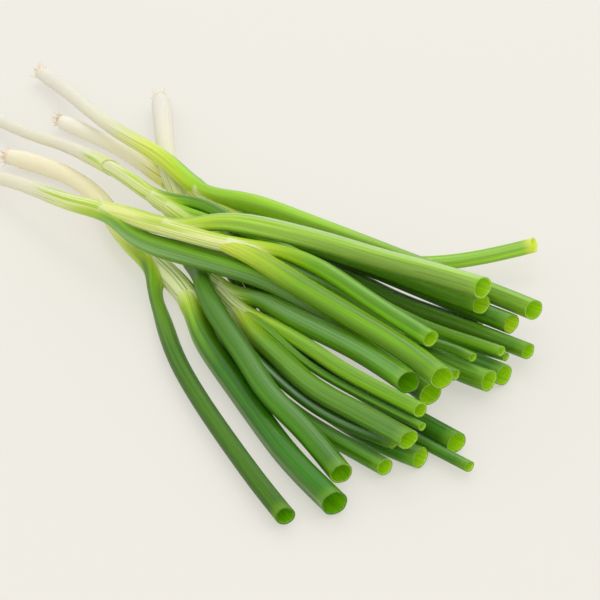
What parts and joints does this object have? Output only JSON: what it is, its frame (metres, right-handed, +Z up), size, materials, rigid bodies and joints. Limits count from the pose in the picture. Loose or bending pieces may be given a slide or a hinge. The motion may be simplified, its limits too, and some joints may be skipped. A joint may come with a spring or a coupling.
{
  "type": "bunch of spring onions",
  "caption": "Loose bunch of spring onions lying on a surface, with pale shanks, trimmed roots and hollow green leaves cut square.",
  "frame": {"origin": "middle of the bunch's box, on the surface that it lies on", "axes": "+X from the roots towards the cut leaf ends, +Z up, +Y across the bunch"},
  "size_m": [0.4054, 0.2166, 0.0443],
  "materials": {
    "shank": "smooth and moist, off-white at the roots to pale green at the collars",
    "leaf": "satin green with fine lengthwise veins and a thin waxy bloom",
    "roots": "dry, pale tan and fibrous"
  },
  "bodies": {
    "root": {"onion_a_leaf_1": "leaf", "onion_a_leaf_2": "leaf", "onion_a_leaf_3": "leaf", "onion_a_leaf_4": "leaf", "onion_a_roots": "roots", "onion_a_shank": "shank", "onion_b_leaf_1": "leaf", "onion_b_leaf_2": "leaf", "onion_b_leaf_3": "leaf", "onion_b_leaf_4": "leaf", "onion_b_roots": "roots", "onion_b_shank": "shank", "onion_c_leaf_1": "leaf", "onion_c_leaf_2": "leaf", "onion_c_leaf_3": "leaf", "onion_c_leaf_4": "leaf", "onion_c_roots": "roots", "onion_c_shank": "shank", "onion_d_leaf_1": "leaf", "onion_d_leaf_2": "leaf", "onion_d_leaf_3": "leaf", "onion_d_leaf_4": "leaf", "onion_d_roots": "roots", "onion_d_shank": "shank", "onion_e_leaf_1": "leaf", "onion_e_leaf_2": "leaf", "onion_e_leaf_3": "leaf", "onion_e_leaf_4": "leaf", "onion_e_leaf_5": "leaf", "onion_e_leaf_6": "leaf", "onion_e_roots": "roots", "onion_e_shank": "shank", "onion_f_leaf_1": "leaf", "onion_f_leaf_2": "leaf", "onion_f_leaf_3": "leaf", "onion_f_leaf_4": "leaf", "onion_f_leaf_5": "leaf", "onion_f_leaf_6": "leaf", "onion_f_roots": "roots", "onion_f_shank": "shank"}
  },
  "joints": []
}
